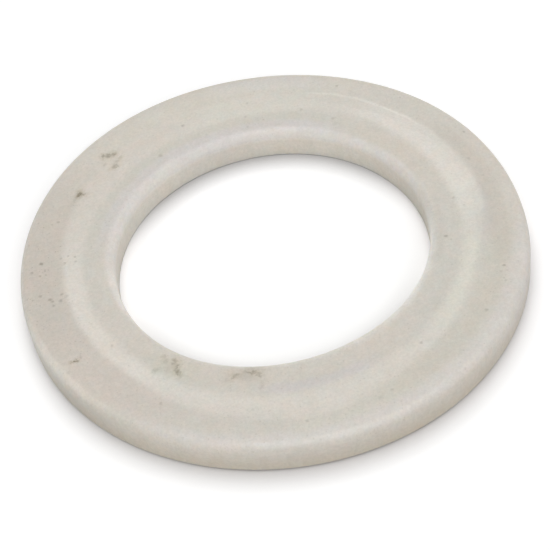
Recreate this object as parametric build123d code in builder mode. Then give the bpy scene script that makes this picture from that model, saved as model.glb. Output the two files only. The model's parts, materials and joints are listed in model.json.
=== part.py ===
from build123d import *
import os

# Valve seal of a toilet cistern: one moulded ring of soft silicone.
# The origin is at the middle of the underside, and +Z runs up the ring's axis.
# All sizes are in millimetres.

# Overall sizes
bore_diameter = 38.2
thickness = 4.2

# Widths across the upper side, from the bore out to the rim
inner_crown_width = 1.6
inner_land_width = 1.1
bead_inner_flank_width = 2.3
bead_outer_flank_width = 2.4
lip_inner_flank_width = 2.6
outer_crown_width = 1.9

# Depths of the upper side, each below the crest of the outer lip
inner_land_depth = 0.15
bead_depth = 0.03
channel_depth = 0.18

# Fall of each crown from its crest to its wall
inner_crown_fall = 0.22
outer_crown_fall = 0.3

# Edges: large roundings above, small bevels below
bore_edge_radius = 1.15
rim_edge_radius = 1.2
bore_foot_bevel = 0.25
rim_foot_bevel = 0.45

# Levels
land_level = thickness - inner_land_depth
bead_level = thickness - bead_depth
channel_level = thickness - channel_depth
inner_wall_height = land_level - inner_crown_fall
outer_wall_height = thickness - outer_crown_fall

# Radii, each one step further out than the last
bore_radius = bore_diameter / 2
land_start = bore_radius + inner_crown_width
land_end = land_start + inner_land_width
bead_crest = land_end + bead_inner_flank_width
channel_floor = bead_crest + bead_outer_flank_width
lip_crest = channel_floor + lip_inner_flank_width
outer_radius = lip_crest + outer_crown_width

outward = (1, 0)
inward = (-1, 0)

# The section is drawn as radius and height, and turned once round the axis.
with BuildPart() as seal_ring:
    with BuildSketch(Plane.XZ) as section:
        with BuildLine():
            # Plain underside and the two straight walls
            Line((bore_radius, 0), (outer_radius, 0))
            Line((bore_radius, 0), (bore_radius, inner_wall_height))
            Line((outer_radius, 0), (outer_radius, outer_wall_height))

            # Inner crown, falling away into the bore, and the level land beside it
            TangentArc(
                (land_start, land_level),
                (bore_radius, inner_wall_height),
                tangent=inward,
            )
            Line((land_start, land_level), (land_end, land_level))

            # Sealing bead, shallow channel and outer lip, one soft wave that is level at each turn
            Spline(
                (land_end, land_level),
                (bead_crest, bead_level),
                (channel_floor, channel_level),
                (lip_crest, thickness),
                tangents=(outward, outward, outward, outward),
            )

            # Outer crown, falling away to the rim
            TangentArc(
                (lip_crest, thickness),
                (outer_radius, outer_wall_height),
                tangent=outward,
            )
        make_face()

        # Each wall's corners are found afresh, as every rounding changes the section.
        fillet(section.vertices().group_by(Axis.X)[0].sort_by(Axis.Y)[-1], radius=bore_edge_radius)
        fillet(section.vertices().group_by(Axis.X)[-1].sort_by(Axis.Y)[-1], radius=rim_edge_radius)
        chamfer(section.vertices().group_by(Axis.X)[0].sort_by(Axis.Y)[0], length=bore_foot_bevel)
        chamfer(section.vertices().group_by(Axis.X)[-1].sort_by(Axis.Y)[0], length=rim_foot_bevel)
    revolve(axis=Axis.Z)

seal_ring.part.label = "seal_ring"

os.makedirs("parts", exist_ok=True)
export_step(seal_ring.part, "parts/seal_ring.step")
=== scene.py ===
import json
import math

import bpy
from bpy.props import FloatProperty, FloatVectorProperty, IntProperty, PointerProperty
from mathutils import Matrix, Vector, noise


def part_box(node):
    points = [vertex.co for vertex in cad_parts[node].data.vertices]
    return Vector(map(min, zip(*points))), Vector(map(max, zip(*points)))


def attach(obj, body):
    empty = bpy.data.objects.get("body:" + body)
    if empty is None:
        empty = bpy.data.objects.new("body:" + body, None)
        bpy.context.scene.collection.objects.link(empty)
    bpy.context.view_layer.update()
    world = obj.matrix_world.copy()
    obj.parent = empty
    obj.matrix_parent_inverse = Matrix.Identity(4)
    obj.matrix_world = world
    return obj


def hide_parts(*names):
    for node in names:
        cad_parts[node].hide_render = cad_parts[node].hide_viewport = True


bl_info = {
    "name": "Cistern Valve Seal",
    "version": (1, 0, 0),
    "blender": (4, 5, 0),
    "location": "View3D > Sidebar > Seal",
    "description": "Dresses the moulded silicone ring of a flush valve and sets it on a pale studio floor",
    "category": "Object",
}

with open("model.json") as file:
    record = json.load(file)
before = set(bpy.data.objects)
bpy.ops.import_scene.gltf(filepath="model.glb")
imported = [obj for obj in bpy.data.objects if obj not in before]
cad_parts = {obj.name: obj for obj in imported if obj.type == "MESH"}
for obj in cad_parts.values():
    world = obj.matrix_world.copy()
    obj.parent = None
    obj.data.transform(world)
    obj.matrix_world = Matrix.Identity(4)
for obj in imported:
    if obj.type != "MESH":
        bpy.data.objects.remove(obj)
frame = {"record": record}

CAD_NODE = "seal_ring"
BODY = "root"
MM = 0.001
WHITE = (1.0, 1.0, 1.0, 1.0)

CAD_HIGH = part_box(CAD_NODE)[1]
BORE_MOUNT = next(m for m in frame["record"]["mounts"] if m["name"] == "bore")


class RingSizes(bpy.types.PropertyGroup):
    """Sizes of the moulded section and the number of faces round the ring"""

    outer_radius: FloatProperty(
        name="Outer Radius", description="Radius of the rim wall", default=CAD_HIGH.x, subtype="DISTANCE"
    )
    bore_radius: FloatProperty(
        name="Bore Radius", description="Radius of the bore wall", default=BORE_MOUNT["dims"]["r_mm"] * MM,
        subtype="DISTANCE",
    )
    thickness: FloatProperty(
        name="Thickness", description="Height of the outer lip's crest", default=CAD_HIGH.z,
        subtype="DISTANCE",
    )
    inner_crown_width: FloatProperty(
        name="Inner Crown Width", description="Width of the shoulder beside the bore", default=1.6 * MM,
        subtype="DISTANCE",
    )
    inner_land_width: FloatProperty(
        name="Inner Land Width", description="Width of the level ring inside the bead", default=1.1 * MM,
        subtype="DISTANCE",
    )
    bead_inner_flank_width: FloatProperty(
        name="Bead Inner Flank Width", description="From the land out to the bead's crest", default=2.3 * MM,
        subtype="DISTANCE",
    )
    bead_outer_flank_width: FloatProperty(
        name="Bead Outer Flank Width", description="From the bead's crest out to the channel floor",
        default=2.4 * MM, subtype="DISTANCE",
    )
    lip_inner_flank_width: FloatProperty(
        name="Lip Inner Flank Width", description="From the channel floor out to the lip's crest",
        default=2.6 * MM, subtype="DISTANCE",
    )
    inner_land_depth: FloatProperty(
        name="Inner Land Depth", description="Level of the inner land below the lip", default=0.15 * MM,
        subtype="DISTANCE",
    )
    bead_depth: FloatProperty(
        name="Bead Depth", description="Level of the bead's crest below the lip", default=0.03 * MM,
        subtype="DISTANCE",
    )
    channel_depth: FloatProperty(
        name="Channel Depth", description="Level of the channel floor below the lip", default=0.18 * MM,
        subtype="DISTANCE",
    )
    inner_crown_fall: FloatProperty(
        name="Inner Crown Fall", description="Drop of the inner shoulder towards the bore", default=0.22 * MM,
        subtype="DISTANCE",
    )
    outer_crown_fall: FloatProperty(
        name="Outer Crown Fall", description="Drop of the lip towards the rim", default=0.30 * MM,
        subtype="DISTANCE",
    )
    bore_edge_radius: FloatProperty(
        name="Bore Edge Radius", description="Rounding of the upper edge beside the bore", default=1.15 * MM,
        subtype="DISTANCE",
    )
    rim_edge_radius: FloatProperty(
        name="Rim Edge Radius", description="Rounding of the upper edge beside the rim", default=1.2 * MM,
        subtype="DISTANCE",
    )
    bore_foot_radius: FloatProperty(
        name="Bore Foot Radius", description="Rounding of the lower edge beside the bore", default=0.16 * MM,
        subtype="DISTANCE",
    )
    rim_foot_radius: FloatProperty(
        name="Rim Foot Radius", description="Rounding of the lower edge beside the rim", default=0.6 * MM,
        subtype="DISTANCE",
    )
    around: IntProperty(name="Steps Around", description="Faces round the ring", default=480, min=48)


class SiliconeFinish(bpy.types.PropertyGroup):
    """Colours and gloss of the used silicone"""

    clean_colour: FloatVectorProperty(
        name="Clean Silicone", description="Where the valve seat has kept the face clean",
        subtype="COLOR", size=3, default=(0.682, 0.646, 0.590),
    )
    stain_colour: FloatVectorProperty(
        name="Worn Silicone", description="The face beside the clean band",
        subtype="COLOR", size=3, default=(0.640, 0.608, 0.552),
    )
    dirt_colour: FloatVectorProperty(
        name="Dirt", description="Dark specks and smudges left by the water",
        subtype="COLOR", size=3, default=(0.175, 0.145, 0.095),
    )
    roughness: FloatProperty(
        name="Roughness", description="Roughness of the moulded surface", default=0.46, min=0, max=1
    )


class StudioSettings(bpy.types.PropertyGroup):
    """Camera, lamps and floor"""

    lens: FloatProperty(name="Lens", description="Focal length in millimetres", default=100.0)
    camera_distance: FloatProperty(
        name="Camera Distance", description="From the middle of the ring's underside", default=0.187,
        subtype="DISTANCE",
    )
    camera_elevation: FloatProperty(
        name="Camera Elevation", description="Height angle of the camera", default=math.radians(46.5),
        subtype="ANGLE",
    )
    camera_roll: FloatProperty(
        name="Camera Roll", description="Turn of the camera about its view, clockwise",
        default=math.radians(9.6), subtype="ANGLE",
    )
    world_strength: FloatProperty(name="World Strength", description="Even white light", default=0.5)
    lamp_distance: FloatProperty(
        name="Lamp Distance", description="From the ring to each soft lamp", default=1.0, subtype="DISTANCE"
    )
    floor_white: FloatProperty(
        name="Floor White", description="How bright the open floor is for the camera", default=1.105
    )
    side_contact_depth: FloatProperty(
        name="Side Contact Depth", description="How much the floor darkens beside the ring's left and right",
        default=0.12,
    )
    near_contact_depth: FloatProperty(
        name="Near Contact Depth", description="The same in front of the rim's near side", default=0.38
    )
    bore_side_contact_depth: FloatProperty(
        name="Bore Side Contact Depth", description="The same inside the bore, at its sides", default=0.05
    )
    far_contact_depth: FloatProperty(
        name="Far Contact Depth", description="The same inside the bore, at its far side", default=0.86
    )


def smooth(value):
    """Eases a share from 0 to 1."""
    value = min(max(value, 0.0), 1.0)
    return value * value * (3 - 2 * value)


def between(low, high, share):
    return low + (high - low) * share


def crest_radii(sizes):
    """The radii at which the upper side is level: the land's ends, the bead, the channel and the lip."""
    land_start = sizes.bore_radius + sizes.inner_crown_width
    land_end = land_start + sizes.inner_land_width
    bead = land_end + sizes.bead_inner_flank_width
    channel = bead + sizes.bead_outer_flank_width
    lip = channel + sizes.lip_inner_flank_width
    return land_start, land_end, bead, channel, lip


def upper_height(sizes, radius):
    """Height of the upper side at a radius, before its edges are rounded."""
    land_start, land_end, bead, channel, lip = crest_radii(sizes)
    top = sizes.thickness
    land = top - sizes.inner_land_depth
    turns = (
        (land_end, land),
        (bead, top - sizes.bead_depth),
        (channel, top - sizes.channel_depth),
        (lip, top),
    )
    if radius <= land_start:
        return land - sizes.inner_crown_fall * ((land_start - radius) / sizes.inner_crown_width) ** 2
    if radius >= lip:
        return top - sizes.outer_crown_fall * ((radius - lip) / (sizes.outer_radius - lip)) ** 2
    for (start, low), (end, high) in zip(turns, turns[1:]):
        if start <= radius <= end:
            return between(low, high, smooth((radius - start) / (end - start)))
    return land


def top_rounding(sizes, wall, radius, outward):
    """Centre and lean of the arc that joins the top to a wall; outward is 1 at the rim, -1 at the bore."""
    step = 0.01 * MM
    settling_rounds = 4
    centre_r = wall - outward * radius
    lean = 0.0
    for _ in range(settling_rounds):
        touch = centre_r + outward * radius * math.sin(lean)
        fall = upper_height(sizes, touch) - upper_height(sizes, touch + outward * step)
        lean = math.atan(fall / step)
    touch = centre_r + outward * radius * math.sin(lean)
    centre_z = upper_height(sizes, touch) - radius * math.cos(lean)
    return centre_r, centre_z, lean, touch


def arc(centre_r, centre_z, radius, outward, start, end, steps):
    """Points of an arc; an angle of 0 points along the radius and 90 degrees points up."""
    angles = [between(start, end, k / steps) for k in range(steps + 1)]
    return [(centre_r + outward * radius * math.cos(a), centre_z + radius * math.sin(a)) for a in angles]


def section_points(sizes):
    """The closed section as (radius, height), from the bore's foot out, up and back."""
    inner, outer = sizes.bore_radius, sizes.outer_radius
    bore_foot, rim_foot = sizes.bore_foot_radius, sizes.rim_foot_radius
    quarter = math.pi / 2
    rim_edge, bore_edge = sizes.rim_edge_radius, sizes.bore_edge_radius
    rim_r, rim_z, rim_lean, rim_touch = top_rounding(sizes, outer, rim_edge, 1)
    bore_r, bore_z, bore_lean, bore_touch = top_rounding(sizes, inner, bore_edge, -1)
    under, wall, face, foot, edge = 12, 8, 84, 6, 14
    points = [(between(inner + bore_foot, outer - rim_foot, k / under), 0.0) for k in range(under)]
    points += arc(outer - rim_foot, rim_foot, rim_foot, 1, -quarter, 0, foot)
    points += [(outer, between(rim_foot, rim_z, k / wall)) for k in range(1, wall)]
    points += arc(rim_r, rim_z, rim_edge, 1, 0, quarter - rim_lean, edge)
    radii = [between(rim_touch, bore_touch, k / face) for k in range(1, face)]
    points += [(r, upper_height(sizes, r)) for r in radii]
    points += arc(bore_r, bore_z, bore_edge, -1, quarter - bore_lean, 0, edge)
    points += [(inner, between(bore_z, bore_foot, k / wall)) for k in range(1, wall)]
    points += arc(inner + bore_foot, bore_foot, bore_foot, -1, 0, -quarter, foot)[:-1]
    return points


def wave(angle, terms):
    """Sum of waves round the ring, each given by its count, cosine share and sine share, in millimetres."""
    return MM * sum(c * math.cos(n * angle) + s * math.sin(n * angle) for n, c, s in terms)


# How far the soft ring has been pulled out of round, in millimetres
RIM_DRIFT = ((2, -0.25, -0.25), (3, -0.02, 0.03), (4, -0.10, 0.03))
BORE_DRIFT = ((1, 0.03, 0.11), (2, 0.08, 0.19), (3, 0.04, -0.05), (4, -0.03, -0.04))

# Where the rim bulges further out: azimuth and spread in degrees, height in millimetres
RIM_BULGE = (342, 20, 0.20)

# How far the upper side rises and falls round the ring, and the width and height of its small unevenness, in
# millimetres
LIFT = ((2, -0.02, -0.01),)
UNEVEN_WIDTH = 6
UNEVEN_HEIGHT = 0.018


def rim_drift(angle):
    """How far the rim has moved outwards, its bulge included."""
    azimuth, spread, height = RIM_BULGE
    aside = (math.degrees(angle) - azimuth + 180) % 360 - 180
    return wave(angle, RIM_DRIFT) + height * MM * math.exp(-((aside / spread) ** 2))


def ring_point(sizes, radius, height, angle):
    """A point of the ring, with the drift of its rim and bore and a little unevenness of its face."""
    share = (radius - sizes.bore_radius) / (sizes.outer_radius - sizes.bore_radius)
    radius += between(wave(angle, BORE_DRIFT), rim_drift(angle), share)
    raised = height / sizes.thickness
    x, y = math.cos(angle) * radius, math.sin(angle) * radius
    uneven = UNEVEN_HEIGHT * MM * noise.noise(Vector((x, y, 0)) / (UNEVEN_WIDTH * MM))
    height += raised * (wave(angle, LIFT) + uneven)
    return x, y, height


def build_ring_mesh(sizes):
    """Turns the section round the axis into a closed mesh."""
    section = section_points(sizes)
    around, across = sizes.around, len(section)
    vertices = []
    for k in range(around):
        angle = 2 * math.pi * k / around
        vertices += [ring_point(sizes, r, z, angle) for r, z in section]
    faces = []
    for k in range(around):
        here, there = k * across, (k + 1) % around * across
        for j in range(across):
            after = (j + 1) % across
            faces.append((here + j, there + j, there + after, here + after))
    mesh = bpy.data.meshes.new("silicone_ring")
    mesh.from_pydata(vertices, [], faces)
    mesh.update()
    for polygon in mesh.polygons:
        polygon.use_smooth = True
    return mesh


class NodeSheet:
    """The node tree of a material or world, with short ways to add the nodes that this scene needs."""

    def __init__(self, owner):
        owner.use_nodes = True
        self.tree = owner.node_tree
        self.tree.nodes.clear()

    def add(self, kind, **settings):
        node = self.tree.nodes.new(kind)
        for name, value in settings.items():
            setattr(node, name, value)
        return node

    def feed(self, socket, value):
        if isinstance(value, bpy.types.NodeSocket):
            self.tree.links.new(value, socket)
        else:
            socket.default_value = value

    def math(self, operation, *values, clamp=False):
        node = self.add("ShaderNodeMath", operation=operation, use_clamp=clamp)
        for socket, value in zip(node.inputs, values):
            self.feed(socket, value)
        return node.outputs[0]

    def vector(self, operation, *values):
        node = self.add("ShaderNodeVectorMath", operation=operation)
        for socket, value in zip(node.inputs, values):
            self.feed(socket, value)
        return node.outputs["Value" if operation in ("LENGTH", "DISTANCE", "DOT_PRODUCT") else "Vector"]

    def product(self, *values):
        result = values[0]
        for value in values[1:]:
            result = self.math("MULTIPLY", result, value)
        return result

    def ease(self, value, start, end):
        """Runs smoothly from 0 to 1 as value goes from start to end; the two may be given in either order."""
        if start > end:
            return self.math("SUBTRACT", 1.0, self.ease(value, end, start))
        node = self.add("ShaderNodeMapRange", interpolation_type="SMOOTHSTEP")
        self.feed(node.inputs["Value"], value)
        node.inputs["From Min"].default_value = start
        node.inputs["From Max"].default_value = end
        return node.outputs["Result"]

    def noise(self, place, scale, detail=2.0, roughness=0.5, output="Fac"):
        node = self.add("ShaderNodeTexNoise")
        self.feed(node.inputs["Vector"], place)
        node.inputs["Scale"].default_value = scale
        node.inputs["Detail"].default_value = detail
        node.inputs["Roughness"].default_value = roughness
        return node.outputs[output]

    def mix(self, share, first, second, blend="MIX"):
        node = self.add("ShaderNodeMix", data_type="RGBA", blend_type=blend, clamp_factor=False)
        self.feed(node.inputs["Factor"], share)
        self.feed(node.inputs[6], first)
        self.feed(node.inputs[7], second)
        return node.outputs[2]


def opaque(colour):
    return (*colour, 1.0)


def direction(degrees):
    angle = math.radians(degrees)
    return math.cos(angle), math.sin(angle), 0.0


# All places on the face are azimuths in degrees and radii in millimetres of the ring as moulded, before it
# was pulled out of round. Softness is how far a border fades to each side, and a colour factor multiplies the
# colour that is there.

# How far along Y the marks' common centre lies from the ring's axis
MARKS_FORWARD = -0.15

# Radii between which the lines round the ring are drawn
LINES_FROM, LINES_TO = 18.0, 32.0

# How the borders wander: scale of the noise per millimetre, reach in millimetres
BORDER_WANDER = (0.6, 0.5)

# Where the clean band left by the seat starts and ends: azimuth, radius
BAND_INNER = (
    (0, 22.95), (20, 23.05), (40, 23.35), (58, 23.6), (80, 23.1), (120, 22.9), (165, 23.1), (210, 22.9),
    (255, 23.7), (300, 23.5), (330, 23.2),
)
BAND_OUTER = (
    (0, 26.3), (20, 26.75), (35, 26.9), (45, 26.95), (55, 27.1), (64, 27.3), (80, 26.9), (135, 26.7),
    (150, 26.3), (165, 25.85), (180, 25.5), (195, 25.3), (210, 25.1), (225, 25.1), (240, 25.9), (255, 26.6),
    (277, 27.2), (300, 25.9), (315, 25.35), (330, 25.1), (345, 25.1),
)
# The brightest part of the band ends earlier at the right, and past it one sector is duller
CORE_OUTER = (
    (0, 25.0), (20, 25.7), (35, 25.5), (65, 25.2), (90, 27.6), (270, 27.6), (330, 24.7), (350, 24.7),
)
DULL_SECTOR = (16, 52, 8)
DULL_TINT = (0.962, 0.962, 0.958)

# Softness of the band's borders. The outer one is soft but for a crisp sector at the far right and a half
# crisp one on the left, each given by its azimuth and half width with its softness
INNER_SOFTNESS, CORE_SOFTNESS, STAIN_SOFTNESS = 0.70, 0.25, 0.70
OUTER_SOFTNESS, CRISP_SOFTNESS = 0.54, 0.22
CRISP_SECTOR = (49, 20, 6)
HALF_CRISP_SECTOR = (210, 24, 10)

# Thin crest where the silicone was pressed up inside the crisp border, its pale colour a painted highlight:
# distance from the border, how far off its line it is gone and whole, sector, colour factor and height
# against the surface's grain
CREST_INSET = 0.24
CREST_GONE, CREST_WHOLE = 0.30, 0.04
CREST_SECTOR = (55, 14, 8)
CREST_HIGHLIGHT_TINT = (1.075, 1.085, 1.095)
CREST_HEIGHT = 1.6

# Sectors of the band that are lighter or duller than the rest: azimuth and half width of the sector with its
# softness, colour factor
BAND_TINTS = (
    (26, 26, 12, (1.080, 1.085, 1.095)),
    (205, 24, 8, (1.055, 1.055, 1.060)),
    (342, 26, 8, (1.035, 1.055, 1.035)),
    (92, 18, 10, (0.995, 1.015, 1.010)),
    (135, 24, 12, (0.980, 0.968, 0.962)),
)

# Tinted zones of the face, painted highlights along the rounded edges among them: inner and outer radius with
# their softness, azimuth and half width of the sector with its softness, colour factor
ZONES = (
    # painted highlight on the rounded edge beside the bore, pale and lilac: strongest at the far right,
    # weaker on the near side
    (18.0, 20.3, 0.45, 100, 85, 12, (1.065, 1.075, 1.130)),
    (18.0, 19.9, 0.35, 42, 24, 12, (1.025, 1.030, 1.030)),
    (18.0, 20.3, 0.40, 106, 14, 8, (0.955, 0.955, 0.970)),
    (18.0, 20.2, 0.50, 280, 90, 10, (1.030, 1.040, 1.060)),
    (18.0, 19.9, 0.40, 333, 24, 10, (1.090, 1.110, 1.130)),
    (18.0, 19.8, 0.30, 195, 12, 6, (1.120, 1.130, 1.150)),
    (18.0, 19.8, 0.35, 284, 62, 12, (1.110, 1.115, 1.115)),
    (18.0, 20.3, 0.35, 309, 22, 10, (1.030, 1.030, 1.030)),
    # lilac and olive rings on the inner land of the far side
    (20.2, 21.6, 0.45, 112, 54, 12, (0.995, 1.000, 1.050)),
    (21.6, 22.9, 0.45, 118, 56, 14, (0.972, 0.980, 0.975)),
    # brown land at the right, rosy land on the near side
    (20.6, 22.8, 0.50, 32, 24, 10, (1.010, 0.998, 0.985)),
    (20.0, 22.2, 0.60, 285, 34, 12, (1.012, 0.998, 0.995)),
    # olive shade beside the streak of dirt, lilac bloom to its right
    (20.2, 22.8, 0.80, 233, 8, 5, (0.985, 0.985, 0.960)),
    (22.3, 23.7, 0.40, 277, 15, 5, (0.990, 0.985, 1.030)),
    (22.4, 24.8, 0.60, 240, 18, 8, (1.015, 1.025, 1.030)),
    # cooler face at the near right, warmer beyond the band at the far left
    (20.4, 26.4, 0.80, 338, 24, 10, (0.990, 1.000, 1.004)),
    (24.6, 28.6, 0.60, 130, 40, 12, (1.010, 1.000, 0.992)),
    # duller land and band at the far right end of the ring
    (19.6, 20.9, 0.40, 352, 12, 6, (0.970, 0.960, 0.955)),
    (23.2, 27.0, 0.70, 358, 9, 5, (0.962, 0.955, 0.972)),
    # brown trough at the right and its shallow end at the near right
    (26.6, 28.9, 0.55, 8, 24, 8, (0.958, 0.948, 0.940)),
    (25.6, 28.2, 0.60, 320, 30, 8, (0.985, 0.980, 0.960)),
    (26.8, 28.6, 0.50, 282, 12, 6, (1.025, 1.030, 1.025)),
    # painted highlight along the rim's rounded edge on the near side, cool and pale, lighter still around the
    # front right and at the near left
    (28.8, 32.0, 0.70, 293, 58, 8, (1.020, 1.025, 1.065)),
    (28.2, 30.2, 0.80, 290, 26, 10, (1.005, 1.012, 1.010)),
    (30.4, 32.0, 0.30, 245, 14, 8, (1.050, 1.050, 1.040)),
    # a lighter, cooler lip at the far side and a duller rim at the far right
    (27.8, 30.0, 0.50, 84, 12, 5, (1.015, 1.020, 1.055)),
    (27.0, 29.0, 0.80, 95, 32, 12, (1.012, 1.020, 1.012)),
    (29.9, 32.0, 0.40, 55, 55, 12, (0.985, 0.980, 0.975)),
    # painted highlight: a pale line along the rim's rounded edge beside the stain
    (30.6, 32.0, 0.25, 188, 18, 8, (1.090, 1.105, 1.115)),
    (29.9, 30.7, 0.20, 207, 15, 7, (1.100, 1.100, 1.110)),
)

# Brown-pink water stains that start at the band's outer border, written in the same way: the broad one on the
# left, its darker middle and its thin end towards the near side
STAINS = (
    (24.0, 30.5, 0.50, 174, 28, 10, (0.944, 0.923, 0.914)),
    (26.8, 29.4, 0.60, 182, 15, 8, (0.972, 0.968, 0.968)),
    (24.0, 29.8, 0.80, 219, 20, 8, (0.990, 0.962, 0.960)),
)

# The silicone's own cloudiness, from broad patches to grain: scale of the noise per millimetre, its detail
# and shift, and the two colour factors that it runs between
MOTTLES = (
    (0.16, 3.0, (0, 0, 0), (1.008, 0.996, 0.990), (0.990, 1.002, 1.002)),
    (0.55, 2.0, (7, 3, 1), (0.982, 0.984, 0.978), (1.018, 1.014, 1.016)),
    (0.80, 1.0, (4, 6, 2), (1.011, 0.996, 0.994), (0.989, 1.003, 1.002)),
    (2.2, 3.0, (1, 9, 4), (0.971, 0.969, 0.967), (1.029, 1.029, 1.028)),
    (3.0, 1.0, (8, 1, 7), (0.997, 1.001, 1.006), (1.003, 0.999, 0.994)),
    (4.0, 2.0, (5, 2, 8), (0.966, 0.968, 0.966), (1.030, 1.030, 1.030)),
)

# Painted light and shade on the walls: which wall, heights in millimetres at which the tint starts and is
# whole, colour factor
WALL_TINTS = (
    # painted light under the bore's rounded edge
    ("bore", 3.2, 2.4, (1.060, 1.040, 0.985)),
    # painted shade towards the bore's foot
    ("bore", 1.8, 0.6, (0.970, 0.965, 0.955)),
    # painted shade towards the rim's foot, the wall also olive
    ("rim", 3.5, 0.6, (0.920, 0.890, 0.835)),
)

# Painted shade in duller sectors of the rim's wall on the near side: azimuth and half width with its
# softness, colour factor
NEAR_WALL_TINTS = (
    (278, 46, 10, (0.990, 0.976, 0.948)),
    (302, 14, 12, (0.970, 0.970, 0.960)),
)

# Dirt smudges, each of a few overlapping spots: azimuth, radius, half size outwards and half size along the
# ring in millimetres, darkness
SMUDGES = (
    (132.2, 26.8, 0.36, 0.48, 0.52), (133.6, 27.2, 0.38, 0.42, 0.44), (134.5, 27.6, 0.34, 0.32, 0.48),
    (136.7, 26.6, 0.26, 0.34, 0.16), (132.0, 25.7, 0.26, 0.38, 0.20), (134.0, 25.5, 0.26, 0.46, 0.26),
    (135.9, 25.1, 0.28, 0.54, 0.38), (149.4, 26.5, 0.38, 0.52, 0.74), (149.0, 26.0, 0.42, 0.28, 0.42),
    (151.6, 26.6, 0.20, 0.56, 0.16), (210.0, 28.2, 0.40, 0.18, 0.66), (232.0, 20.6, 0.44, 0.38, 0.36),
    (233.4, 21.2, 0.50, 0.29, 0.44), (234.7, 21.8, 0.44, 0.29, 0.46), (235.7, 22.1, 0.34, 0.24, 0.38),
    (236.8, 22.4, 0.30, 0.16, 0.18), (229.5, 21.3, 0.34, 0.38, 0.16), (228.2, 20.7, 0.30, 0.34, 0.15),
    (231.4, 22.4, 0.20, 0.24, 0.17), (229.0, 23.0, 0.40, 0.32, 0.16), (232.2, 21.5, 0.95, 0.80, 0.11),
    (255.8, 21.0, 0.60, 1.60, 0.15), (250.2, 21.6, 0.40, 0.34, 0.17), (252.6, 20.9, 0.46, 0.60, 0.38),
    (255.0, 20.8, 0.34, 0.50, 0.20), (257.2, 20.4, 0.28, 0.84, 0.44), (259.9, 20.7, 0.40, 0.30, 0.34),
    (257.6, 19.8, 0.34, 1.30, 0.20), (260.8, 22.2, 0.80, 0.14, 0.12),
)

# Small dark specks: azimuth, radius, size in millimetres, darkness
SPECKS = (
    (338.3, 28.1, 0.18, 0.42), (336.8, 28.6, 0.16, 0.18), (336.4, 27.9, 0.16, 0.18),
    (333.7, 28.7, 0.16, 0.18), (340.9, 28.5, 0.16, 0.16), (348.3, 21.0, 0.20, 0.54),
    (346.9, 21.6, 0.14, 0.14), (26.2, 29.7, 0.18, 0.38), (28.9, 29.4, 0.14, 0.17),
    (17.5, 27.5, 0.24, 0.17), (47.4, 29.3, 0.16, 0.20), (64.9, 28.6, 0.20, 0.28),
    (73.0, 23.4, 0.22, 0.26), (61.7, 22.4, 0.24, 0.22), (60.2, 21.5, 0.34, 0.11), (4.7, 22.9, 0.18, 0.24),
    (0.8, 23.8, 0.14, 0.17), (90.0, 25.5, 0.17, 0.20), (91.2, 22.9, 0.20, 0.22), (91.2, 21.0, 0.17, 0.17),
    (110.8, 24.7, 0.24, 0.34), (123.6, 21.9, 0.28, 0.27), (160.4, 27.3, 0.18, 0.32),
    (161.6, 28.0, 0.13, 0.22), (175.3, 28.2, 0.23, 0.54), (178.0, 29.3, 0.21, 0.40),
    (179.4, 28.3, 0.18, 0.35), (179.2, 27.6, 0.14, 0.25), (173.9, 25.8, 0.14, 0.26),
    (175.8, 25.2, 0.16, 0.32), (173.3, 24.9, 0.15, 0.28), (173.9, 24.0, 0.15, 0.32),
    (175.8, 23.9, 0.14, 0.26), (186.2, 28.5, 0.20, 0.34), (187.0, 29.5, 0.13, 0.28),
    (188.0, 27.4, 0.22, 0.42), (188.8, 27.2, 0.20, 0.38), (190.3, 27.2, 0.18, 0.34),
    (189.2, 26.2, 0.22, 0.38), (187.1, 25.9, 0.17, 0.34), (188.4, 25.4, 0.24, 0.16),
    (212.4, 23.5, 0.18, 0.20), (236.0, 26.6, 0.24, 0.24), (271.4, 27.8, 0.20, 0.26),
    (258.9, 25.6, 0.17, 0.15), (263.0, 25.8, 0.16, 0.15), (288.8, 27.7, 0.28, 0.12),
    (292.1, 27.4, 0.19, 0.22), (306.6, 24.6, 0.18, 0.30), (323.8, 28.0, 0.20, 0.26),
)

# How ragged smudges and specks are: scale of each noise per millimetre, reach in millimetres
SMUDGE_SHAKES = ((1.8, 1.20), (4.5, 0.55))
SPECK_SHAKES = ((4.0, 0.34),)

# Shares of a smudge's half size at which its dirt, and the faint halo round it, start and are whole
SMUDGE_FADE = (1.35, 0.35)
HALO_FADE = (2.6, 0.8)
HALO_TINT = (0.82, 0.785, 0.70)

# Scatters of tiny dots: cells per millimetre, dot size in millimetres, shift, share of the cells with a dot
PEPPER = ((1.5, 0.15, (3, 8, 2), 0.34), (2.6, 0.11, (9, 4, 6), 0.36))
PEPPER_DARKNESS = 0.36



def pulled(sizes, azimuth, radius):
    """Where a radius of the ring as moulded lies once the drift is added, in millimetres."""
    inner, outer = sizes.bore_radius / MM, sizes.outer_radius / MM
    angle = math.radians(azimuth)
    share = (radius - inner) / (outer - inner)
    drift = between(wave(angle, BORE_DRIFT), rim_drift(angle), share) / MM
    return radius + drift + MARKS_FORWARD * math.sin(angle)


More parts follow.
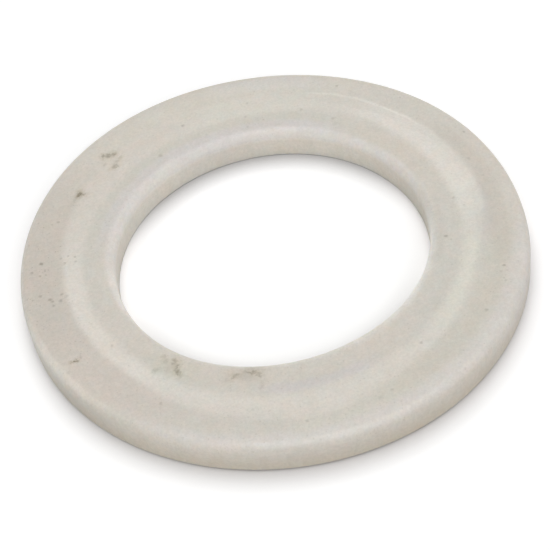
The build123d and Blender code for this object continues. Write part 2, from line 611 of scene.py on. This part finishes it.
class SiliconeSheet(NodeSheet):
    """The silicone's layers, all placed by millimetres from the ring's axis."""

    def __init__(self, material, sizes):
        super().__init__(material)
        self.sizes = sizes
        coordinates = self.add("ShaderNodeTexCoord").outputs["Object"]
        self.place = self.vector("MULTIPLY", coordinates, (1 / MM, 1 / MM, 1 / MM))
        split = self.add("ShaderNodeSeparateXYZ")
        self.feed(split.inputs[0], self.place)
        x, y, self.height = split.outputs["X"], split.outputs["Y"], split.outputs["Z"]
        flat = self.vector("MULTIPLY", self.place, (1, 1, 0))
        self.direction = self.vector("NORMALIZE", flat)
        self.radius = self.vector("LENGTH", flat)
        self.turn = self.math("FRACT", self.math("DIVIDE", self.math("ARCTAN2", y, x), 2 * math.pi))
        scale, reach = BORDER_WANDER
        wander = self.math("SUBTRACT", self.noise(self.place, scale), 0.5)
        self.wandered = self.math("MULTIPLY_ADD", wander, reach, self.radius)
        self.ragged = self.shaken(flat, SMUDGE_SHAKES)
        self.speckled = self.shaken(flat, SPECK_SHAKES)

    def shaken(self, place, shakes):
        """Moves a place by noises, each given by its scale and its reach in millimetres."""
        for scale, reach in shakes:
            noise_colour = self.noise(self.place, scale, 2.0, 0.6, "Color")
            offset = self.vector("SUBTRACT", noise_colour, (0.5, 0.5, 0.5))
            place = self.vector("ADD", place, self.vector("MULTIPLY", offset, (reach, reach, 0.0)))
        return place

    def edge(self, points):
        """The radius, all round the ring, of a smooth line through a few points."""
        span = LINES_TO - LINES_FROM
        node = self.add("ShaderNodeFloatCurve")
        curve = node.mapping.curves[0]
        shares = []
        for azimuth, radius in points:
            shares.append((azimuth / 360, (pulled(self.sizes, azimuth, radius) - LINES_FROM) / span))
        curve.points[0].location = shares[0]
        curve.points[1].location = (1.0, shares[0][1])
        for share in shares[1:]:
            curve.points.new(*share)
        node.mapping.update()
        self.feed(node.inputs["Value"], self.turn)
        return self.math("MULTIPLY_ADD", node.outputs[0], span, LINES_FROM)

    def past(self, edge, soft):
        """0 inside a line round the ring and 1 outside it."""
        return self.ease(self.math("DIVIDE", self.math("SUBTRACT", self.wandered, edge), soft), -1.0, 1.0)

    def between_radii(self, inner, outer, soft):
        """1 between two radii of the pulled ring and 0 beside them."""
        start = self.ease(self.wandered, inner - soft, inner + soft)
        stop = self.ease(self.wandered, outer + soft, outer - soft)
        return self.math("MULTIPLY", start, stop)

    def sector(self, azimuth, half_width, soft):
        """1 inside a sector of the ring and 0 outside it."""
        nearness = self.vector("DOT_PRODUCT", self.direction, direction(azimuth))
        rim = math.cos(math.radians(min(half_width + soft, 180)))
        core = math.cos(math.radians(max(half_width - soft, 0)))
        return self.ease(nearness, rim, core)

    def zone(self, inner, outer, soft, azimuth, half_width, blur):
        """1 inside a zone of the face and 0 outside it."""
        low, high = pulled(self.sizes, azimuth, inner), pulled(self.sizes, azimuth, outer)
        return self.product(self.between_radii(low, high, soft), self.sector(azimuth, half_width, blur))

    def tint(self, colour, mask, factor):
        """Multiplies the colour by a factor inside a mask."""
        return self.mix(mask, colour, opaque(factor), "MULTIPLY")

    def mottle(self, colour, scale, detail, shift, low, high):
        """Multiplies the colour by a noise that runs between two factors."""
        moved = self.vector("ADD", self.place, shift)
        share = self.ease(self.noise(moved, scale, detail, 0.6), 0.30, 0.70)
        return self.mix(1.0, colour, self.mix(share, opaque(low), opaque(high)), "MULTIPLY")

    def speck(self, azimuth, radius, size, darkness):
        """A small round speck that fades out at its edge."""
        centre = [part * pulled(self.sizes, azimuth, radius) for part in direction(azimuth)]
        apart = self.vector("DISTANCE", self.speckled, centre)
        return self.math("MULTIPLY", self.ease(apart, size * 1.6, size * 0.2), darkness)

    def apart(self, azimuth, radius, outwards, along):
        """Distance from a ragged spot's middle, as a share of its half sizes."""
        angle = math.radians(azimuth)
        centre = [part * pulled(self.sizes, azimuth, radius) for part in direction(azimuth)]
        way = self.vector("SUBTRACT", self.ragged, centre)
        cosine, sine = math.cos(angle), math.sin(angle)
        out_share = self.vector("DOT_PRODUCT", way, (cosine / outwards, sine / outwards, 0))
        side_share = self.vector("DOT_PRODUCT", way, (-sine / along, cosine / along, 0))
        side_squared = self.math("MULTIPLY", side_share, side_share)
        return self.math("SQRT", self.math("MULTIPLY_ADD", out_share, out_share, side_squared))

    def pepper(self, scale, size, shift, kept):
        """Tiny round dots in a share of the cells of a scatter."""
        node = self.add("ShaderNodeTexVoronoi")
        self.feed(node.inputs["Vector"], self.vector("ADD", self.place, shift))
        node.inputs["Scale"].default_value = scale
        chance = self.add("ShaderNodeSeparateXYZ")
        self.feed(chance.inputs[0], node.outputs["Color"])
        dot = self.ease(node.outputs["Distance"], size * scale, size * scale * 0.4)
        return self.math("MULTIPLY", dot, self.math("LESS_THAN", chance.outputs["X"], kept))


def face_colour(sheet, finish):
    """Colour of the face: the clean band, tinted zones with painted highlights along the rounded edges, and
    stains.
    """
    crisp = sheet.math("MULTIPLY_ADD", sheet.sector(*HALF_CRISP_SECTOR), 0.5, sheet.sector(*CRISP_SECTOR))
    softness = sheet.math("MULTIPLY_ADD", crisp, CRISP_SOFTNESS - OUTER_SOFTNESS, OUTER_SOFTNESS)
    outer_edge = sheet.edge(BAND_OUTER)
    starts = sheet.past(sheet.edge(BAND_INNER), INNER_SOFTNESS)
    band = sheet.math("SUBTRACT", starts, sheet.past(outer_edge, softness), clamp=True)
    colour = sheet.mix(band, opaque(finish.stain_colour), opaque(finish.clean_colour))
    for azimuth, half_width, blur, factor in BAND_TINTS:
        colour = sheet.tint(colour, sheet.product(band, sheet.sector(azimuth, half_width, blur)), factor)
    past_core = sheet.past(sheet.edge(CORE_OUTER), CORE_SOFTNESS)
    colour = sheet.tint(colour, sheet.product(band, past_core, sheet.sector(*DULL_SECTOR)), DULL_TINT)
    # tinted zones, painted highlights along the rounded edges of the bore and the rim among them
    for zone in ZONES:
        colour = sheet.tint(colour, sheet.zone(*zone[:-1]), zone[-1])
    stained = sheet.past(outer_edge, STAIN_SOFTNESS)
    for stain in STAINS:
        colour = sheet.tint(colour, sheet.product(stained, sheet.zone(*stain[:-1])), stain[-1])
    return colour, outer_edge


def crest_mask(sheet, outer_edge):
    """1 along the thin crest inside the band's crisp border and 0 elsewhere."""
    crest_line = sheet.math("SUBTRACT", outer_edge, CREST_INSET)
    off_line = sheet.math("ABSOLUTE", sheet.math("SUBTRACT", sheet.wandered, crest_line))
    return sheet.product(sheet.ease(off_line, CREST_GONE, CREST_WHOLE), sheet.sector(*CREST_SECTOR))


def tint_walls(sheet, colour):
    """The walls: painted light under the bore's edge, painted shade towards both feet and on the rim's near
    side, olive towards the rim's foot, finely streaked.
    """
    walls = {"bore": sheet.ease(sheet.radius, 21.2, 20.4), "rim": sheet.ease(sheet.radius, 29.6, 30.4)}
    shoulder = sheet.product(sheet.ease(sheet.height, 2.3, 2.9), sheet.ease(sheet.height, 3.9, 3.4))
    # painted light on the bore's wall just under its rounded edge
    colour = sheet.tint(colour, sheet.product(walls["bore"], shoulder), (1.10, 1.10, 1.10))
    for wall, start, whole, factor in WALL_TINTS:
        mask = sheet.product(walls[wall], sheet.ease(sheet.height, start, whole))
        colour = sheet.tint(colour, mask, factor)
    # painted shade in sectors of the rim's wall on the near side
    near_wall = sheet.product(walls["rim"], sheet.ease(sheet.height, 3.9, 3.3))
    for azimuth, half_width, blur, factor in NEAR_WALL_TINTS:
        colour = sheet.tint(colour, sheet.product(near_wall, sheet.sector(azimuth, half_width, blur)), factor)
    drawn_out = sheet.vector("MULTIPLY", sheet.place, (1, 1, 0.18))
    streaks = sheet.ease(sheet.noise(drawn_out, 1.1, 3.0, 0.6), 0.3, 0.7)
    below_edges = sheet.ease(sheet.height, 3.3, 2.6)
    return sheet.tint(colour, sheet.product(below_edges, streaks), (0.970, 0.965, 0.955))


def dirt_masks(sheet):
    """How dark the dirt is and the halo round its smudges."""
    dirt, halo = 0.0, 0.0
    for azimuth, radius, outwards, along, darkness in SMUDGES:
        apart = sheet.apart(azimuth, radius, outwards, along)
        smudge = sheet.math("MULTIPLY", sheet.ease(apart, *SMUDGE_FADE), darkness)
        around = sheet.math("MULTIPLY", sheet.ease(apart, *HALO_FADE), darkness)
        dirt = sheet.math("MAXIMUM", smudge, dirt)
        halo = sheet.math("MAXIMUM", around, halo)
    patchy = sheet.ease(sheet.noise(sheet.place, 5.0, 2.0, 0.6), 0.65, 0.35)
    dirt = sheet.math("MULTIPLY", dirt, sheet.math("MULTIPLY_ADD", patchy, 0.40, 0.72))
    for azimuth, radius, size, darkness in SPECKS:
        dirt = sheet.math("MAXIMUM", sheet.speck(azimuth, radius, size, darkness), dirt)
    large_dots, small_dots = (sheet.pepper(*scatter) for scatter in PEPPER)
    dots = sheet.math("MAXIMUM", large_dots, small_dots)
    dirt = sheet.math("MAXIMUM", dirt, sheet.product(dots, pepper_crowd(sheet), PEPPER_DARKNESS))
    top = sheet.ease(sheet.height, 2.6, 3.2)
    return sheet.product(dirt, top), sheet.product(halo, top)


def pepper_crowd(sheet):
    """Where the pepper gathers: clusters on the left, a little on the near side, patches everywhere."""
    patches = sheet.ease(sheet.noise(sheet.place, 0.45), 0.42, 0.66)
    clusters = sheet.ease(sheet.noise(sheet.place, 0.7), 0.40, 0.58)
    left = sheet.product(sheet.sector(184, 24, 10), sheet.ease(sheet.radius, 22.8, 27.6), clusters)
    near = sheet.sector(262, 34, 14)
    crowd = sheet.math("MAXIMUM", left, sheet.math("MULTIPLY", near, 0.30))
    return sheet.math("MAXIMUM", crowd, sheet.math("MULTIPLY", patches, 0.5))


def silicone_material(sizes, finish):
    """Semi-matt silicone with a clean band where the seat touched it and stained zones beside it, painted
    highlights on its rounded edges and painted light and shade on its walls.
    """
    material = bpy.data.materials.new("used_silicone")
    sheet = SiliconeSheet(material, sizes)
    colour, outer_edge = face_colour(sheet, finish)
    crest = crest_mask(sheet, outer_edge)
    # painted highlight along the crest
    colour = sheet.tint(colour, crest, CREST_HIGHLIGHT_TINT)
    for mottle in MOTTLES:
        colour = sheet.mottle(colour, *mottle)
    colour = tint_walls(sheet, colour)
    dirt, halo = dirt_masks(sheet)
    colour = sheet.tint(colour, halo, HALO_TINT)
    colour = sheet.mix(dirt, colour, opaque(finish.dirt_colour))

    shader = sheet.add("ShaderNodeBsdfPrincipled")
    sheet.feed(shader.inputs["Base Color"], colour)
    sheen = sheet.math("SUBTRACT", sheet.noise(sheet.place, 1.3, 3.0, 0.6), 0.5)
    sheet.feed(shader.inputs["Roughness"], sheet.math("MULTIPLY_ADD", sheen, 0.25, finish.roughness))
    shader.inputs["IOR"].default_value = 1.41
    shader.inputs["Subsurface Weight"].default_value = 0.6
    shader.inputs["Subsurface Radius"].default_value = (1.0, 0.8, 0.55)
    shader.inputs["Subsurface Scale"].default_value = 1.5 * MM
    bump = sheet.add("ShaderNodeBump")
    bump.inputs["Strength"].default_value = 0.35
    bump.inputs["Distance"].default_value = 0.02 * MM
    grain = sheet.noise(sheet.place, 3.2, 3.0, 0.65)
    sheet.feed(bump.inputs["Height"], sheet.math("MULTIPLY_ADD", crest, CREST_HEIGHT, grain))
    sheet.feed(shader.inputs["Normal"], bump.outputs["Normal"])
    output = sheet.add("ShaderNodeOutputMaterial")
    sheet.feed(output.inputs["Surface"], shader.outputs["BSDF"])
    return material


# Half width of the floor in metres, how close the ring has to be to darken it, and the floor's grey in the
# light that it throws back at the ring
FLOOR_HALF_WIDTH = 0.3
CONTACT_REACH = 4 * MM
BOUNCE_GREY = (0.8, 0.8, 0.8)


def contact_exponent(sheet, settings):
    """How deep the painted shadow on the floor is near the ring: more in front and behind than at the sides.
    """
    place = sheet.add("ShaderNodeTexCoord").outputs["Object"]
    middle_radius = (CAD_HIGH.x + BORE_MOUNT["dims"]["r_mm"] * MM) / 2
    inside = sheet.math("LESS_THAN", sheet.vector("LENGTH", place), middle_radius)
    outward = sheet.vector("NORMALIZE", place)
    facing = sheet.math("ABSOLUTE", sheet.vector("DOT_PRODUCT", outward, (0, 1, 0)))
    side, near = settings.side_contact_depth, settings.near_contact_depth
    bore_side, far = settings.bore_side_contact_depth, settings.far_contact_depth
    outer_depth = sheet.math("MULTIPLY_ADD", facing, near - side, side)
    inner_depth = sheet.math("MULTIPLY_ADD", sheet.ease(facing, 0.20, 0.85), far - bore_side, bore_side)
    change = sheet.math("SUBTRACT", inner_depth, outer_depth)
    return sheet.math("MULTIPLY_ADD", inside, change, outer_depth)


def floor_material(settings):
    """White for the camera but for the ring's shadow, deepened by a painted shadow, and pale grey for the
    light that it throws back.
    """
    material = bpy.data.materials.new("white_floor")
    sheet = NodeSheet(material)
    shielded = sheet.add("ShaderNodeAmbientOcclusion", samples=8)
    shielded.inputs["Distance"].default_value = CONTACT_REACH
    # painted shadow: for the camera the floor's colour darkens with the ring's occlusion, over the shadow
    # that the lamps cast
    depth = sheet.math("POWER", shielded.outputs["AO"], contact_exponent(sheet, settings))
    grey = sheet.mix(sheet.math("MULTIPLY", depth, settings.floor_white), opaque((0, 0, 0)), WHITE)
    # a faint rosy tint in the painted shadow
    warmth = sheet.mix(shielded.outputs["AO"], opaque((1.02, 1.0, 1.02)), WHITE)
    seen = sheet.add("ShaderNodeBsdfDiffuse")
    sheet.feed(seen.inputs["Color"], sheet.mix(1.0, grey, warmth, "MULTIPLY"))
    bounced = sheet.add("ShaderNodeBsdfDiffuse")
    bounced.inputs["Color"].default_value = opaque(BOUNCE_GREY)
    choice = sheet.add("ShaderNodeMixShader")
    sheet.feed(choice.inputs[0], sheet.add("ShaderNodeLightPath").outputs["Is Camera Ray"])
    sheet.feed(choice.inputs[1], bounced.outputs["BSDF"])
    sheet.feed(choice.inputs[2], seen.outputs["BSDF"])
    sheet.feed(sheet.add("ShaderNodeOutputMaterial").inputs["Surface"], choice.outputs[0])
    return material


def build_floor(settings):
    """A pale floor that stays white for the camera and keeps the ring's shadow."""
    half = FLOOR_HALF_WIDTH
    mesh = bpy.data.meshes.new("studio_floor")
    corners = [(-half, -half, 0), (half, -half, 0), (half, half, 0), (-half, half, 0)]
    mesh.from_pydata(corners, [], [(0, 1, 2, 3)])
    floor = bpy.data.objects.new("studio_floor", mesh)
    bpy.context.scene.collection.objects.link(floor)
    mesh.materials.append(floor_material(settings))


# Soft lamps: name, azimuth and height angle in degrees, half angle that the lamp fills, share of the light,
# and what the lamp makes: matt light, gloss or both
SOFTBOXES = (
    ("overhead_softbox", 0, 90, 18, 0.16, "both"),
    ("back_softbox", 88, 60, 18, 0.24, "matt"),
    ("front_softbox", 286, 28, 20, 0.13, "both"),
    ("crown_softbox", 285, 70, 28, 1.0, "gloss"),
)


def build_lights(settings):
    """An even world, white for the camera, and soft lamps, each set by its share of the floor's light."""
    world = bpy.data.worlds.new("studio_white")
    bpy.context.scene.world = world
    sheet = NodeSheet(world)
    background = sheet.add("ShaderNodeBackground")
    background.inputs["Color"].default_value = WHITE
    seen = sheet.add("ShaderNodeLightPath").outputs["Is Camera Ray"]
    strength = sheet.math("MULTIPLY_ADD", seen, 1 - settings.world_strength, settings.world_strength)
    sheet.feed(background.inputs["Strength"], strength)
    sheet.feed(sheet.add("ShaderNodeOutputWorld").inputs["Surface"], background.outputs["Background"])
    for name, azimuth, height, half_angle, share, makes in SOFTBOXES:
        rise, turn = math.radians(height), math.radians(azimuth)
        place = settings.lamp_distance * Vector(
            (math.cos(turn) * math.cos(rise), math.sin(turn) * math.cos(rise), math.sin(rise))
        )
        lamp = bpy.data.lights.new(name, "AREA")
        lamp.shape = "DISK"
        lamp.size = 2 * settings.lamp_distance * math.tan(math.radians(half_angle))
        lamp.energy = share * math.pi**2 * place.length_squared / math.sin(rise)
        holder = bpy.data.objects.new(name, lamp)
        holder.location = place
        holder.rotation_euler = (-place).to_track_quat("-Z", "Y").to_euler()
        holder.visible_diffuse = makes != "gloss"
        holder.visible_glossy = makes != "matt"
        bpy.context.scene.collection.objects.link(holder)


# Point of the floor that the camera looks at
CAMERA_AIM = (-0.1 * MM, -2.1 * MM, 0)


def build_camera(settings):
    """Looks down on the ring from the near side, turned a little about its own view."""
    elevation, roll = settings.camera_elevation, settings.camera_roll
    place = settings.camera_distance * Vector((0, -math.cos(elevation), math.sin(elevation)))
    aim = Vector(CAMERA_AIM)
    view = (aim - place).normalized()
    level = view.cross(Vector((0, 0, 1))).normalized()
    upright = level.cross(view)
    across = level * math.cos(roll) - upright * math.sin(roll)
    up = level * math.sin(roll) + upright * math.cos(roll)
    camera = bpy.data.cameras.new("studio_camera")
    camera.lens = settings.lens
    camera.sensor_width = 36.0
    camera.clip_start = 0.01
    holder = bpy.data.objects.new("studio_camera", camera)
    turn = Matrix((across, up, -view)).transposed().to_4x4()
    holder.matrix_world = Matrix.Translation(place) @ turn
    bpy.context.scene.collection.objects.link(holder)
    bpy.context.scene.camera = holder


class SEAL_OT_build_ring(bpy.types.Operator):
    """Build the used silicone ring in place of its plain solid"""

    bl_idname = "seal.build_ring"
    bl_label = "Build Silicone Ring"

    def execute(self, context):
        sizes, finish = context.scene.seal_ring_sizes, context.scene.seal_finish
        if sizes.bore_radius + sizes.bore_edge_radius + sizes.rim_edge_radius >= sizes.outer_radius:
            raise ValueError("the bore leaves no room for the ring")
        ring = bpy.data.objects.new("silicone_ring", build_ring_mesh(sizes))
        ring.data.materials.append(silicone_material(sizes, finish))
        context.scene.collection.objects.link(ring)
        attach(ring, BODY)
        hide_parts(CAD_NODE)
        return {"FINISHED"}


class SEAL_OT_build_stage(bpy.types.Operator):
    """Set the floor, the lamps and the camera"""

    bl_idname = "seal.build_stage"
    bl_label = "Build Stage"

    def execute(self, context):
        settings = context.scene.seal_studio
        build_floor(settings)
        build_lights(settings)
        build_camera(settings)
        context.scene.view_settings.view_transform = "Standard"
        return {"FINISHED"}


class SEAL_PT_sidebar(bpy.types.Panel):
    """Lists the steps that dress the seal"""

    bl_label = "Cistern Valve Seal"
    bl_idname = "SEAL_PT_sidebar"
    bl_space_type = "VIEW_3D"
    bl_region_type = "UI"
    bl_category = "Seal"

    def draw(self, context):
        for operator in OPERATORS:
            self.layout.operator(operator.bl_idname)
        for group in (context.scene.seal_ring_sizes, context.scene.seal_finish, context.scene.seal_studio):
            box = self.layout.box()
            for name in group.__annotations__:
                box.prop(group, name)


OPERATORS = (SEAL_OT_build_ring, SEAL_OT_build_stage)
GROUPS = {"seal_ring_sizes": RingSizes, "seal_finish": SiliconeFinish, "seal_studio": StudioSettings}


def register():
    for group in (*GROUPS.values(), *OPERATORS, SEAL_PT_sidebar):
        bpy.utils.register_class(group)
    for name, group in GROUPS.items():
        setattr(bpy.types.Scene, name, PointerProperty(type=group))


def unregister():
    for name in GROUPS:
        delattr(bpy.types.Scene, name)
    for group in reversed((*GROUPS.values(), *OPERATORS, SEAL_PT_sidebar)):
        bpy.utils.unregister_class(group)


def main():
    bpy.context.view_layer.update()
    register()
    bpy.ops.seal.build_ring()
    bpy.ops.seal.build_stage()


if __name__ == "__main__":
    main()
